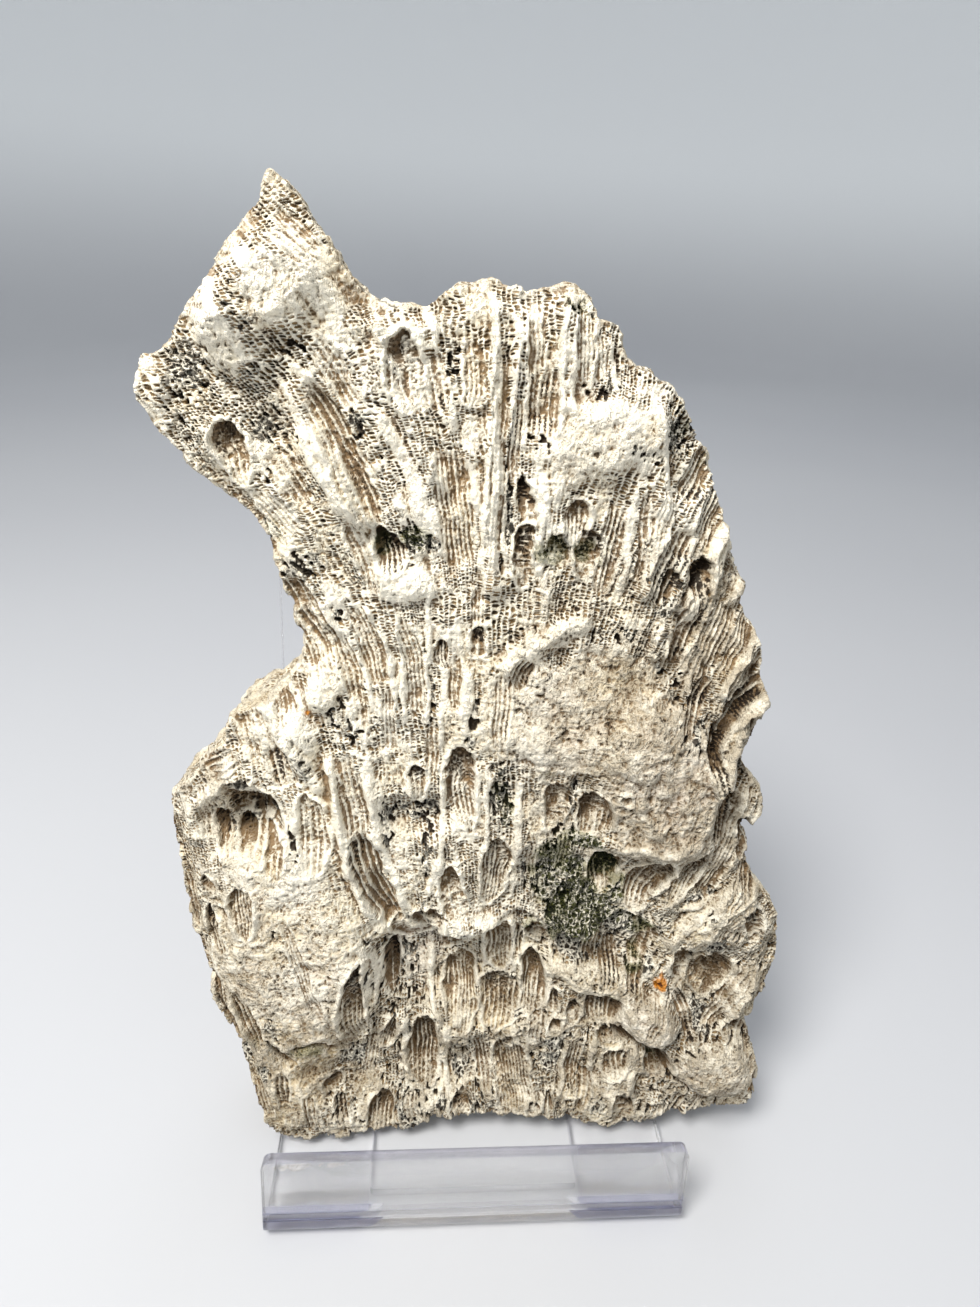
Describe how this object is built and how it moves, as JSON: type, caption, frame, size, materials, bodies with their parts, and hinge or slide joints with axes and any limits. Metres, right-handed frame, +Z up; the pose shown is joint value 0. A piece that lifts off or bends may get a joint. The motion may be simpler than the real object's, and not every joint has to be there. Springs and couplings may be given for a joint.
{
  "type": "fossil coral slice on a clear easel",
  "caption": "Weathered slab of pale fossil coral, its ribbed tubes and porous lattice cut lengthwise, leaning on a bent clear acrylic display easel.",
  "frame": {"origin": "on the table, under the middle of the whole object's footprint", "axes": "+Z up, the weathered face looks towards -Y, the easel's lip runs along X"},
  "size_m": [0.153, 0.1432, 0.2233],
  "materials": {
    "coral": "rough, chalky and porous",
    "clear_acrylic": "clear, polished"
  },
  "bodies": {
    "root": {"coral_slab": "coral", "display_stand": "clear_acrylic"}
  },
  "joints": []
}
